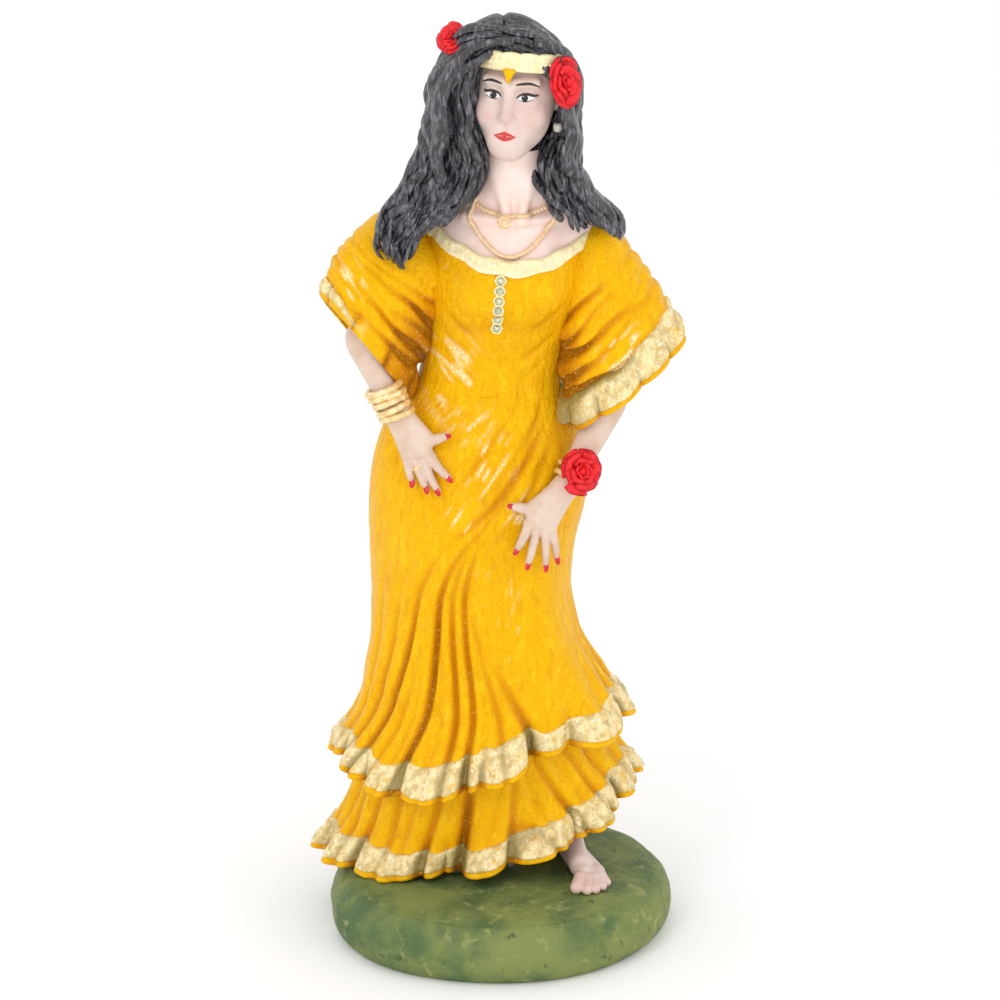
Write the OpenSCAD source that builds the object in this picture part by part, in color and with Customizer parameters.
// Papier-mache dancing lady: a painted figure in a flounced gown on a round base.
// Millimetres. Origin at the centre of the base's underside, +Z up, the face looks along -Y,
// so the figure's right side is at -X.

/* [Figure] */
// Height of the whole figure with its base
figure_h = 300; // [200:5:400]
// Wall of the paper layers that form the gown
cloth_t = 1.6; // [1.2:0.1:2.2]
// Radius of the armature wires
wire_r = 1.5; // [1:0.1:1.8]

/* [Base] */
// Width of the base at its widest
base_w = 113; // [110:1:120]
// Height of the base
base_h = 20; // [17:0.5:20]

/* [Gown] */
// Width at the waist
waist_w = 46; // [42:1:48]
// Width at the hips
hip_w = 71; // [66:1:76]
// Width of the upper tier above its hem
tier_w = 93; // [88:1:96]
// How far each hem flares out
hem_flare = 4; // [2:0.5:5]
// Depth of the pleats at the hem
pleat_d = 2; // [1:0.25:3]
// Height of the gold hem bands
trim_h = 8.6; // [6:0.2:10]
// Height of the cream band round the neckline
neck_band_h = 4.4; // [3:0.1:5]
// Plain cloth that shows below each hem band
hem_rim = 1.2; // [0.8:0.1:2]
// Thickness of the gold hem bands
trim_t = 0.8; // [0.6:0.1:1.2]

/* [Head] */
// Width of the head without the hair
head_w = 25.5; // [23:0.5:26.5]
// Depth of the head from nose bridge to nape
head_d = 31; // [28:0.5:32]
// Sideways tilt of the head
head_tilt = 5; // [0:1:8]
// Turn of the head towards its right
head_turn = 12; // [0:1:14]

/* [Jewellery] */
// Number of bangles on the right wrist
bangles = 5; // [3:1:5]
// Thickness of a bangle
bangle_t = 2.1; // [1.6:0.1:2.3]
// Number of stones down the front
studs = 6; // [4:1:6]
// Width of a stone
stud_w = 2.8; // [2:0.1:3]

/* [Hidden] */

k = figure_h / 300;
gap = 0.05;
gold = [0.86, 0.71, 0.36];
cream = [0.93, 0.84, 0.62];
dress = [0.98, 0.68, 0.03];
flesh = [0.90, 0.76, 0.70];
scarlet = [0.80, 0.05, 0.07];
raven = [0.05, 0.05, 0.06];
moss = [0.24, 0.34, 0.16];
steel = [0.6, 0.6, 0.62];
pulp = [0.75, 0.72, 0.66];

// Places that several pieces share
waist_z = 182;
head_c = [4.5, -8, 277];
post_xy = [4, -3];
right_elbow = [-43, -3, 199];
right_wrist = [-34, -11, 180];
right_palm = [-27, -12, 166];
left_elbow = [36, -3, 180];
left_wrist = [22.5, -12, 154];
left_palm = [16, -16, 145];
right_tips = [[-16.5, -14.5, 169.5], [-15.5, -18, 157], [-19, -18.5, 153], [-22.5, -17.5, 153.5],
    [-27, -15, 155]];
left_tips = [[4.5, -19.5, 148], [6, -19.5, 134], [9.5, -18.5, 129], [15, -17, 128],
    [18.5, -15.5, 130]];

// ---------- curves and sections ----------
function unit(v) = v / norm(v);
function mix(a, b, t) = a + (b - a) * t;
function clamp(t) = max(0, min(1, t));
function ease(t) = let (c = clamp(t)) c * c * (3 - 2 * c);
function mean(pts) = [for (i = [0:2]) [for (p = pts) p[i]] * [for (p = pts) 1] / len(pts)];
// One column of a table of sections, rounded where the slope changes
function col(table, z, i, w = 4) =
    let (t = [for (row = table) [row[0], row[i]]])
    (lookup(z - w, t) + 2 * lookup(z, t) + lookup(z + w, t)) / 4;
// A value that goes once round the figure, given at a few angles
function around(table, a) = lookup(a % 360, table);
function arc_table(pairs) = concat(pairs, [[360, pairs[0][1]]]);
// Point at angle a of the section at height z, moved outward by e
function on(table, a, z, e) =
    [col(table, z, 1) + (col(table, z, 3) + e) * cos(a),
     col(table, z, 2) + (col(table, z, 4) + e) * sin(a), z];
// Sections are [height, centre x, centre y, half width, half depth]
gown = [
    [50, -5, 8, tier_w / 2 + 1.5, 33], [60, -5, 8, tier_w / 2, 32],
    [76, -3, 8, tier_w / 2 - 3.5, 29], [88, -5, 7.5, 39, 27], [100, -7.5, 7, 34.5, 25],
    [115, -9, 7, 32.5, 24], [130, -8.5, 6.5, 33.5, 24], [146, -6.5, 6, hip_w / 2, 24],
    [158, -6.5, 6.5, 34, 21.5], [170, -6.5, 7, 30.5, 17.5], [waist_z, -3.5, 6, waist_w / 2, 15],
    [192, -1.5, 6, 22.5, 15], [205, 1, 3.5, 23.5, 18.5], [214, 2.5, 2, 25.5, 20], [222, 3.5, 3, 26, 19],
    [230, 4, 4.5, 28, 16.5], [236, 4, 5, 29, 14], [242, 4.5, 5, 24, 12]];
lower = [[20, -6.5, 10, 50, 29], [35, -5, 9.5, 48, 28.5], [50, -2.5, 9, 45, 27.5],
    [72, -3, 8, 40, 25.5], [84, -4, 7.5, 36, 23]];
chest = [[waist_z, -3.5, 6, 21, 13], [205, 1, 3.5, 21.5, 16.5], [214, 2.5, 2, 23.5, 18],
    [222, 3.5, 3, 24, 17], [230, 4, 4.5, 26, 14.5], [236, 4, 5, 25, 12.5],
    [240, 4.5, 4, 19, 11], [244, 5, 1, 12.5, 9.5], [249, 5, -2.5, 8.2, 8], [258, 5, -4, 7.6, 8]];
// Heights of the two hems and of the neckline, by angle
upper_hem = arc_table([[0, 74], [45, 66], [90, 60], [135, 57], [180, 60], [200, 59],
    [222, 52], [247, 50.5], [268, 55], [288, 64], [298, 67.5], [318, 67], [335, 71]]);
lower_hem = arc_table([[0, 50], [45, 38], [90, 27], [135, 21.5], [180, 23], [200, 21.5],
    [237, 21], [253, 22], [268, 24.5], [287, 28.5], [307, 34], [322, 38], [340, 47]]);
function neckline(a) = 238 - 14 * pow(max(0, -sin(a - 4)), 1.6);

function pleat(a, z, hem) = pleat_d * ease((150 - z) / 95)
    * (0.6 * cos(10 * a + 2.2 * (z - hem)) + 0.4 * cos(17 * a - 40));
function flare(z, hem) = hem_flare * pow(clamp(1 - (z - hem) / 22), 2);
function skirt_at(a, z, e) = let (hem = around(upper_hem, a))
    on(gown, a, z, e + pleat(a, z, hem) + flare(z, hem));
function ruffle(a, z, hem) = pleat_d * ease((74 - z) / 30)
    * (0.7 * cos(16 * a) + 0.4 * cos(25 * a + 70));
function flounce_at(a, z, e) = let (hem = around(lower_hem, a))
    on(lower, a, z, e + ruffle(a, z, hem) + flare(z, hem));
// The core is scooped out behind the lifted hem, where the foot stands
function scoop(a, z) = 17 * ease((around(lower_hem, a) + 8 - z) / 10)
    * ease((a - 268) / 30) + 17 * ease((around(lower_hem, a) + 8 - z) / 10)
    * ease((40 - a) / 30);
function core_at(a, z) =
    let (t = ease((around(upper_hem, a) + 15 - z) / 6),
         s = skirt_at(a, z, -cloth_t - gap), f = flounce_at(a, z, -cloth_t - gap - scoop(a, z)))
    mix(s, f, t);

// ---------- meshes ----------
// Every ring runs anticlockwise about the direction from the first ring to the last.
function ring(n, f) = [for (j = [0:n - 1]) f(360 * j / n)];
function side_faces(n, m, wrap) = [for (i = [0:m - (wrap ? 1 : 2)], j = [0:n - 1])
    let (a = i * n + j, b = i * n + (j + 1) % n, d = ((i + 1) % m) * n + j,
         c = ((i + 1) % m) * n + (j + 1) % n)
    each [[a, d, c], [a, c, b]]];
// A solid through rings, with a fan of triangles closing each end
module loft(rings) {
    n = len(rings[0]);
    m = len(rings);
    polyhedron(
        points = concat([for (r = rings) each r], [mean(rings[0]), mean(rings[m - 1])]),
        faces = concat(side_faces(n, m, false),
            [for (j = [0:n - 1]) [m * n, j, (j + 1) % n]],
            [for (j = [0:n - 1]) [m * n + 1, (m - 1) * n + (j + 1) % n, (m - 1) * n + j]]));
}
// A closed band or shell: the last ring joins the first
module skin(rings) {
    polyhedron(points = [for (r = rings) each r],
        faces = side_faces(len(rings[0]), len(rings), true));
}
// Rings of a round bar along a path; up is any direction that the path never follows
function bar(path, radii, n, up = [0, 1, 0], closed = false) =
    let (m = len(path))
    [for (i = [0:m - 1])
        let (p = path[closed ? (i + m - 1) % m : max(0, i - 1)],
             q = path[closed ? (i + 1) % m : min(m - 1, i + 1)],
             t = unit(q - p), u = unit(cross(up, t)), v = cross(t, u), r = radii[i % len(radii)])
        ring(n, function (a) path[i] + r * (cos(a) * u + sin(a) * v))];
// Straight rod between two points
module rod(p, q, r) {
    d = q - p;
    translate(p)
        rotate([0, acos(d[2] / norm(d)), atan2(d[1], d[0])])
            cylinder(h = norm(d), r = r, $fn = 24);
}
module ball(p, r, n = 10) { translate(p) sphere(r = r, $fn = n); }
module limb(p, q, rp, rq, n = 8) { hull() { ball(p, rp, n); ball(q, rq, n); } }
// A wire filed thinner past its elbow b, where the two straight lengths cross
module bent_wire(a, b, c, r) {
    rod(a, b + unit(b - a), r);
    rod(b + unit(b - c), c, 0.85 * r);
}

// ---------- base and armature ----------
module base_plinth() {
    // Outline of a hand-shaped round: a few shallow waves and a slightly flat front
    function rim(a) = base_w / 2 * (1 + 0.010 * cos(3 * a + 40) + 0.008 * cos(5 * a - 30)
        + 0.008 * cos(2 * a));
    profile = [[0, 0.93], [1, 0.965], [4, 0.99], [8, 1], [13, 0.98], [17, 0.94],
        [19.4, 0.87], [20, 0.79], [20.3, 0.4]];
    color(moss) scale(k) difference() {
        loft([for (p = profile)
            ring(54, function (a) [p[1] * rim(a) * cos(a), p[1] * rim(a) * sin(a),
                p[0] * base_h / 20])]);
        post_hole(wire_r + 0.5);
        rod(foot_pin_foot, foot_pin_top, wire_r);
    }
}
post_foot_z = 4;
post_top_z = 284;
module post_hole(r) {
    translate([post_xy[0], post_xy[1], post_foot_z])
        cylinder(h = post_top_z - post_foot_z, r = r, $fn = 24);
}
module armature_post() { color(steel) scale(k) post_hole(wire_r + 0.5); }
right_shoulder = [-12, 2, 226];
left_shoulder = [20, 2, 222];
module right_wire() { bent_wire(right_shoulder, right_elbow, right_wrist, wire_r); }
module left_wire() { bent_wire(left_shoulder, left_elbow, left_wrist, wire_r); }
module right_arm_wire() { color(steel) scale(k) right_wire(); }
module left_arm_wire() { color(steel) scale(k) left_wire(); }
foot_pin_foot = [23, 4, 8];
foot_pin_top = [23, 4, 36];
module foot_pin() { color(steel) scale(k) rod(foot_pin_foot, foot_pin_top, wire_r); }

// ---------- body ----------
core_foot_z = 20.4;
module skirt_core() {
    steps = [core_foot_z, 27, 34, 42, 50, 58, 66, 74, 84, 98, 114, 130, 146, 158, 170, waist_z];
    color(pulp) scale(k) difference() {
        loft([for (z = steps) ring(48, function (a) core_at(a, z))]);
        post_hole(wire_r + 0.5);
    }
}
module torso() {
    steps = [waist_z, 192, 200, 207, 213, 219, 225, 230, 234, 237, 240, 243, 246, 250, 256];
    color(flesh) scale(k) difference() {
        loft([for (z = steps) ring(40, function (a) on(chest, a, z,
            -gap - 0.4 * ease((waist_z + 8 - z) / 8)))]);
        post_hole(wire_r + 0.5);
        right_wire();
        left_wire();
    }
}
module left_foot() {
    heel = [22, 8, 24];
    ball_c = [27.8, -19, 23.6];
    outer_ball = [32.8, -16.5, 22.8];
    ankle = [22.5, 6, 33];
    toes = [[25.4, -28.3, 22.2], [28.8, -29.4, 22], [31.6, -28.2, 21.8], [34, -25.6, 21.7],
        [35.6, -22.4, 21.6]];
    color(flesh) scale(k) difference() {
        union() {
            limb(heel, ball_c, 3.7, 3);
            limb(heel, outer_ball, 3.6, 2.4);
            limb(ankle, ball_c + [0, 3, 1], 4.2, 2.8);
            limb(ankle, ankle + [-2, 1, 14], 4.2, 5);
            limb(ankle, heel, 4.2, 3.7);
            for (i = [0:4]) limb(mix(ball_c, outer_ball, i / 4), toes[i],
                2.3 - 0.12 * i, 2 - 0.16 * i, 8);
        }
        rod(foot_pin_foot, foot_pin_top, wire_r);
    }
}

// ---------- gown ----------
// Row i of a tier: the hem, the two edges of its band, then even steps up to the top
function tier_row(hem, top, i, rows) = i == 0 ? hem : i == 1 ? hem + hem_rim
    : mix(hem + hem_rim + trim_h, top, (i - 2) / (rows - 2));
module skirt() {
    rows = 12;
    function z_at(a, i) = tier_row(around(upper_hem, a), waist_z, i, rows);
    color(dress) scale(k) skin(concat(
        [for (i = [0:rows]) ring(60, function (a) skirt_at(a, z_at(a, i), 0))],
        [for (i = [rows:-1:0]) ring(60, function (a) skirt_at(a, z_at(a, i), -cloth_t))]));
}
module flounce() {
    rows = 6;
    function z_at(a, i) = tier_row(around(lower_hem, a), around(upper_hem, a) + 9, i, rows);
    color(dress) scale(k) skin(concat(
        [for (i = [0:rows]) ring(72, function (a) flounce_at(a, z_at(a, i), 0))],
        [for (i = [rows:-1:0]) ring(72, function (a) flounce_at(a, z_at(a, i), -cloth_t))]));
}
// Gold band on the outside of a hem; f gives the cloth's surface
module band(n, f, z0, h, t) {
    skin([
        ring(n, function (a) f(a, z0(a), t)), ring(n, function (a) f(a, z0(a) + h, t)),
        ring(n, function (a) f(a, z0(a) + h, gap)), ring(n, function (a) f(a, z0(a), gap))]);
}
module skirt_trim() {
    color(gold) scale(k) band(60, function (a, z, e) skirt_at(a, z, e),
        function (a) around(upper_hem, a) + hem_rim, trim_h, trim_t);
}
module flounce_trim() {
    color(gold) scale(k) band(72, function (a, z, e) flounce_at(a, z, e),
        function (a) around(lower_hem, a) + hem_rim, trim_h, trim_t);
}
module bodice() {
    rows = 7;
    function z_at(a, i) = mix(waist_z, neckline(a), i / rows);
    color(dress) scale(k) skin(concat(
        [for (i = [0:rows]) ring(40, function (a) on(gown, a, z_at(a, i), 0))],
        [for (i = [rows:-1:0]) ring(40, function (a) on(gown, a, z_at(a, i), -cloth_t))]));
}
module neckline_trim() {
    color(cream) scale(k) band(40, function (a, z, e) on(gown, a, z, e),
        function (a) neckline(a) - neck_band_h + 1, neck_band_h, trim_t);
}
module front_studs() {
    top = 219.5;
    color(gold) scale(k) for (i = [0:studs - 1]) let (z = top - i * (stud_w + 0.3))
        translate([0.8 - 0.25 * i, on(gown, 266, z, gap)[1], z])
            rotate([90, 0, 0]) cylinder(h = 1.1, r = stud_w / 2, $fn = 24);
}
// A flared sleeve: a shoulder ring and a hem ring, each [centre, long half axis, short half
// axis]. It is solid down to the recess that the arm comes out of.
function oval(r, a, e, g) =
    r[0] + (1 + (e + g) / norm(r[1])) * cos(a) * r[1] + (1 + (e + g) / norm(r[2])) * sin(a) * r[2];
function sleeve_ring(s, e, wave, turn) =
    let (c = [for (i = [0:2]) mix(s[0][i], s[1][i], e[0])])
    ring(36, function (a) oval(c, turn * a, e[1], wave * e[0] * cos(8 * a + 30)));
recess = 0.62;
module sleeve(s, turn) {
    rows = 6;
    loft(concat([sleeve_ring(s, [-0.14, -6], 0, turn)],
        [for (i = [0:rows]) sleeve_ring(s, [i / rows, 0], 1.3, turn)],
        [for (i = [0:3]) sleeve_ring(s, [1 - (1 - recess) * i / 3, -cloth_t - i], 1.3, turn)]));
}
right_sleeve_rings = [[[-27, 2, 225], [-13.5, 1, 10.5], [-2, -13, 0]],
    [[-41.75, -3.5, 196], [-13.75, -0.5, 16.5], [-1, -12.5, 5.5]]];
left_sleeve_rings = [[[27, 2, 222], [9, 1, 13], [2, -13, 0]],
    [[39.3, -4, 187], [19, 2, 15], [3, -12, -4]]];
module sleeve_band(s, turn) {
    step = trim_h / norm(s[1][0] - s[0][0]);
    skin([sleeve_ring(s, [1, trim_t], 1.3, turn), sleeve_ring(s, [1, gap], 1.3, turn),
        sleeve_ring(s, [1 - step, gap], 1.3, turn), sleeve_ring(s, [1 - step, trim_t], 1.3, turn)]);
}
module right_sleeve() {
    color(dress) scale(k) difference() {
        sleeve(right_sleeve_rings, -1);
        right_wire();
    }
}
module left_sleeve() {
    color(dress) scale(k) difference() {
        sleeve(left_sleeve_rings, 1);
        left_wire();
    }
}
module right_sleeve_trim() { color(gold) scale(k) sleeve_band(right_sleeve_rings, -1); }
module left_sleeve_trim() { color(gold) scale(k) sleeve_band(left_sleeve_rings, 1); }

// ---------- arms and hands ----------
// Forearm from the sleeve's recess to the wrist, thickest below the elbow
module forearm(s, elbow, wrist, palm) {
    start = mix(mean([for (r = s) r[0]]), elbow, 0.55);
    path = [start, mix(start, elbow, 0.6), mix(elbow, wrist, 0.05), mix(elbow, wrist, 0.3),
        mix(elbow, wrist, 0.6), mix(elbow, wrist, 0.9), mix(wrist, palm, 0.15)];
    loft(bar(path, [5.4, 5.6, 5.6, 5.2, 4.5, 3.9, 3.8], 16));
}
module right_arm() {
    color(flesh) scale(k) difference() {
        forearm(right_sleeve_rings, right_elbow, right_wrist, right_palm);
        right_wire();
    }
}
module left_arm() {
    color(flesh) scale(k) difference() {
        forearm(left_sleeve_rings, left_elbow, left_wrist, left_palm);
        left_wire();
    }
}
function finger_r(i) = i == 0 ? 1.75 : 1.55 - 0.06 * i;
// Palm and five fingers, thumb first
module hand(wrist, palm, tips) {
    fwd = unit(palm - wrist);
    across = unit(tips[1] - tips[4]);
    heel = mix(wrist, palm, 0.3);
    limb(heel, palm + 5 * fwd + 3 * across, 3.4, 2.6);
    limb(heel, palm + 5 * fwd - 3 * across, 3.3, 2.4);
    limb(heel + 1.5 * across, mix(palm, tips[0], 0.5), 2.8, 2.2);
    limb(mix(palm, tips[0], 0.45), tips[0], 2.1, finger_r(0));
    for (i = [1:4]) let (root = palm + 5 * fwd + (5.2 - 2.6 * i + 1.3) * across,
        joint = mix(root, tips[i], 0.5) + [0, -0.9, 0]) {
        limb(root, joint, 2, finger_r(i) + 0.15);
        limb(joint, tips[i], finger_r(i) + 0.15, finger_r(i));
    }
}
module right_hand() { color(flesh) scale(k) hand(right_wrist, right_palm, right_tips); }
module left_hand() { color(flesh) scale(k) hand(left_wrist, left_palm, left_tips); }
// An almond of varnish over each fingertip
module nails(palm, tips) {
    for (i = [0:4]) let (d = unit(tips[i] - palm), p = tips[i] + 0.9 * d + [0, -0.75, 0.2])
        limb(p - 0.7 * d, p + 1.3 * d, 0.95, 0.6, 6);
}
module right_nails() { color(scarlet) scale(k) nails(right_palm, right_tips); }
module left_nails() { color(scarlet) scale(k) nails(left_palm, left_tips); }
// Ring of round wire about the line from p towards q
module hoop(p, q, r, t) {
    d = q - p;
    translate(p) rotate([0, acos(d[2] / norm(d)), atan2(d[1], d[0])])
        rotate_extrude($fn = 48) translate([r, 0]) circle(r = t / 2, $fn = 20);
}
module right_bangles() {
    along = unit(right_palm - right_wrist);
    color(gold) scale(k) for (i = [0:bangles - 1])
        hoop(right_wrist + along * (i * (bangle_t + 0.15) - 4.5), right_palm + along * 20,
            5.3 - 0.12 * i, bangle_t);
}
module left_bracelet() {
    color(gold) scale(k) for (i = [0:1]) hoop(mix(left_wrist, left_elbow, 0.14 - 0.09 * i),
        left_elbow, 5.2, bangle_t - 0.2);
}
module finger_ring() {
    root = right_palm + 5 * unit(right_palm - right_wrist)
        - 2.5 * unit(right_tips[1] - right_tips[4]);
    color(gold) scale(k) hoop(mix(root, right_tips[3], 0.28), right_tips[3], 2.1, 0.8);
}
// A rose: a tight bud inside rings of cupped petals, facing along +Z before it is turned
module rose(p, turn, r, stretch = [1, 1, 1]) {
    translate(p) rotate(turn) scale(stretch) {
        limb([0, 0, 0], [0, 0, 0.35 * r], 0.42 * r, 0.3 * r, 8);
        for (row = [0:1], i = [0:4 - row]) let (a = 360 * i / (5 - row) + 30 * row,
            d = (0.62 - 0.24 * row) * r, h = (0.05 + 0.22 * row) * r)
            hull() {
                ball([d * cos(a - 24), d * sin(a - 24), h], 0.26 * r, 7);
                ball([d * cos(a + 24), d * sin(a + 24), h], 0.26 * r, 7);
                ball([0.5 * d * cos(a), 0.5 * d * sin(a), -0.1 * r], 0.22 * r, 5);
            }
    }
}
module wrist_rose() { color(scarlet) scale(k) rose([26, -16.5, 159], [80, 10, 15], 6.8); }

// ---------- head and hair ----------
module tilted() {
    translate([head_c[0], head_c[1], 256]) rotate([0, head_tilt, 0]) rotate([0, 0, -head_turn])
        translate([-head_c[0], -head_c[1], -256]) children();
}
module head() {
    w = head_w / 2;
    d = head_d / 2;
    // [height, half width, half depth, forward shift] from under the chin to the crown
    rows = [[256, 0.30, 0.30, -5], [257.4, 0.48, 0.55, -4.5], [260.5, 0.66, 0.78, -3],
        [265, 0.82, 0.92, -1.5], [271, 0.94, 0.99, -0.5], [277, 0.99, 1.02, 0],
        [283, 1, 1.02, 0.5], [288, 0.93, 0.94, 0.8], [291, 0.8, 0.82, 0.8], [293, 0.55, 0.58, 0.8]];
    color(flesh) scale(k) difference() {
        tilted() union() {
            loft([for (q = rows) ring(32, function (a) [head_c[0] + q[1] * w * cos(a),
                head_c[1] + q[3] + q[2] * d * sin(a), q[0]])]);
            limb([head_c[0], head_c[1] - 0.98 * d, 279], [head_c[0], head_c[1] - d - 1.6, 271.5],
                0.8, 1.3);
            for (side = [-1, 1]) limb([head_c[0] + side * (w - 0.7), head_c[1] + 1.5, 276],
                [head_c[0] + side * (w - 1.3), head_c[1] + 0.8, 270.5], 1.7, 1.1);
        }
        post_hole(wire_r + 0.5);
    }
}
module left_earring() {
    color(cream) scale(k) tilted() ball([head_c[0] + head_w / 2 + 0.4, head_c[1] + 0.5, 267.2],
        1.7, 24);
}
// The tiara goes round the front of the hair, scalloped along its upper edge
tiara_z = 284;
function tiara_top(a) = tiara_z + 5.1 + 0.7 * abs(cos(9 * a));
module tiara() {
    function at(a, z, e) = [head_c[0] + (head_w / 2 + 0.8 + e) * cos(a),
        head_c[1] + 0.5 + (head_d / 2 + 0.9 + e) * sin(a), z];
    span = [for (i = [0:30]) 196 + 148 * i / 30];
    n = len(span);
    color(cream) scale(k) tilted() loft([for (a = span)
        [at(a, tiara_z, 0), at(a, tiara_z, 1.3), at(a, tiara_top(a), 1.3), at(a, tiara_top(a), 0)]]);
}
module tiara_drop() {
    x = head_c[0];
    y = head_c[1] + 0.5 - head_d / 2 - 2.3;
    color(gold) scale(k) tilted() translate([x, y, tiara_z]) rotate([90, 0, 0])
        linear_extrude(height = 1.1) polygon([[-1.8, 0.4], [0, -3.4], [1.8, 0.4]]);
}
// Sections inside the hair: [height, centre x, centre y, half width, half depth]. They follow
// the head and nape, and below them the back of the gown.
under_hair = [[200, 1, 4, 25, 19.5], [214, 2, 4, 26, 19.5], [228, 3, 4.5, 29, 18], [236, 4, 4, 28, 16],
    [242, 4, 2, 20, 15], [248, 4.5, -3, 13.5, 14], [256, 4.5, -7, 12.6, 15],
    [268, head_c[0], head_c[1], 12.9, 16.6], [283, head_c[0], head_c[1], 13, 16.6],
    [289, head_c[0], -7.5, 12.6, 15.8], [294, 4, -7.5, 10, 12]];
// Thickness of the hair by height
hair_t = [[200, 2.5], [206, 4], [216, 6], [228, 8], [240, 9], [250, 10], [262, 9.5], [275, 8.6],
    [285, 7.2], [291, 4.2]];
// It is fuller on the right side of the head
function hair_depth(a, z) = lookup(z, hair_t)
    * (1 + 0.5 * max(0, -cos(a)) * ease((z - 240) / 20));
function lock_wave(a, z) = 0.8 * cos(13 * a + 4 * z) + 0.5 * cos(7 * a - 6 * z);
// A C-shaped wall of hair, open towards the face by gap_at degrees to each side
module hair_wall(zs, gap_at) {
    n = 34;
    function sweep(z, j) = 270 + gap_at(z) + (360 - 2 * gap_at(z)) * j / (n - 1);
    m = len(zs);
    rows = [for (z = zs) concat(
        [for (j = [0:n - 1]) let (a = sweep(z, j))
            on(under_hair, a, z, hair_depth(a, z) + lock_wave(a, z))],
        [for (j = [n - 1:-1:0]) on(under_hair, sweep(z, j), z, gap)])];
    q = 2 * n;
    polyhedron(points = [for (r = rows) each r],
        faces = concat(side_faces(q, m, false),
            [for (j = [0:n - 2]) each [[j, j + 1, q - 2 - j], [j, q - 2 - j, q - 1 - j]]],
            [for (j = [0:n - 2]) let (o = (m - 1) * q)
                each [[o + j, o + q - 2 - j, o + j + 1], [o + j, o + q - 1 - j, o + q - 2 - j]]]));
}
crown = [[291, 2.5, -6.5, 17.5, 18.3], [294.5, 1.5, -6, 14.5, 15.5], [297.5, 0, -5, 10.5, 12],
    [299.4, -1, -4, 6, 7], [300, -1, -4, 2.5, 3]];
cap_foot_z = 270;
module hair_cap() {
    color(raven) scale(k) {
        loft([for (q = crown) ring(40, function (a) let (w = 0.8 * lock_wave(a, q[0]) * q[3] / 18)
            [q[1] + (q[3] + w) * cos(a), q[2] + (q[4] + w) * sin(a), q[0]])]);
        hair_wall([cap_foot_z, 274, 278, 282, 286, 291.05], function (z) 60);
    }
}
module hair_back() {
    color(raven) scale(k) hair_wall([206, 211, 217, 223, 230, 237, 243, 248, 254, 260, 265,
        cap_foot_z], function (z) mix(132, 108, ease((z - 215) / 40)));
}
// Front locks, widest where they spread over the shoulder
right_lock = [[222, -29, -14, 0.8, 1], [226, -30, -14, 3.2, 2.5], [231, -31, -13, 6, 4],
    [236, -29, -12, 8, 5], [240, -25, -11, 10, 5.5], [245, -20, -10, 12, 6],
    [250, -17, -9, 12.5, 6], [255, -15.5, -8.5, 11, 6], [262, -15.5, -8, 8, 6.5],
    [270, -15.5, -9, 8, 7.5]];
left_lock = [[231, 38, -9, 1.5, 1.5], [236, 29, -9.5, 7, 4], [240, 24.5, -10, 7.5, 5],
    [245, 21.5, -9, 7.5, 5.5], [250, 20, -8, 8, 6], [255, 19.5, -6, 7.5, 6], [262, 22, -3.5, 5, 6],
    [270, 22.2, -3, 4.8, 6]];
module front_lock(table, zs) {
    loft([for (z = zs) ring(24, function (a) on(table, a, z,
        min(0.25 * col(table, z, 4), 0.8) * cos(5 * a + 12 * z)))]);
}
module hair_right() {
    color(raven) scale(k) front_lock(right_lock,
        [222, 225, 228, 232, 236, 240, 244, 248, 252, 257, 263, cap_foot_z]);
}
module hair_left() {
    color(raven) scale(k) front_lock(left_lock,
        [231, 234, 237, 240, 244, 248, 252, 257, 263, cap_foot_z]);
}
module left_hair_rose() { color(scarlet) scale(k) rose([20, -20.5, 280.5], [78, 0, 28], 6.8,
    [0.8, 1.1, 0.8]); }
module right_hair_rose() { color(scarlet) scale(k) rose([-13.8, -13, 293], [70, 0, -30], 4.6); }

// ---------- necklaces ----------
// Each chain hangs round the neck, and drop says how far its front falls
function chain_at(a, z0, drop, power) =
    let (z = z0 - drop * pow(max(0, -sin(a)), power), p = on(chest, a, z, 0.7))
    [p[0], p[1], z];
module chain(z0, drop, power, t) {
    color(gold) scale(k) skin(bar([for (i = [0:35]) chain_at(10 * i, z0, drop, power)],
        [t / 2], 6, [0, 0, 1], true));
}
module necklace_short() { chain(246.5, 8, 2, 1.3); }
module necklace_long() { chain(245.5, 19.5, 5, 1.4); }
module pendant() {
    p = chain_at(266, 246.5, 8, 2);
    color(gold) scale(k) translate(p + [0, -0.4, -1.8]) rotate([78, 0, 0])
        cylinder(h = 1.4, r = 2.1, $fn = 32);
}

base_plinth();
armature_post();
right_arm_wire();
left_arm_wire();
foot_pin();
skirt_core();
torso();
left_foot();
skirt();
skirt_trim();
flounce();
flounce_trim();
bodice();
neckline_trim();
front_studs();
right_sleeve();
left_sleeve();
right_sleeve_trim();
left_sleeve_trim();
right_arm();
left_arm();
right_hand();
left_hand();
right_nails();
left_nails();
right_bangles();
left_bracelet();
wrist_rose();
finger_ring();
head();
left_earring();
tiara();
tiara_drop();
hair_cap();
hair_back();
hair_right();
hair_left();
right_hair_rose();
left_hair_rose();
necklace_short();
necklace_long();
pendant();
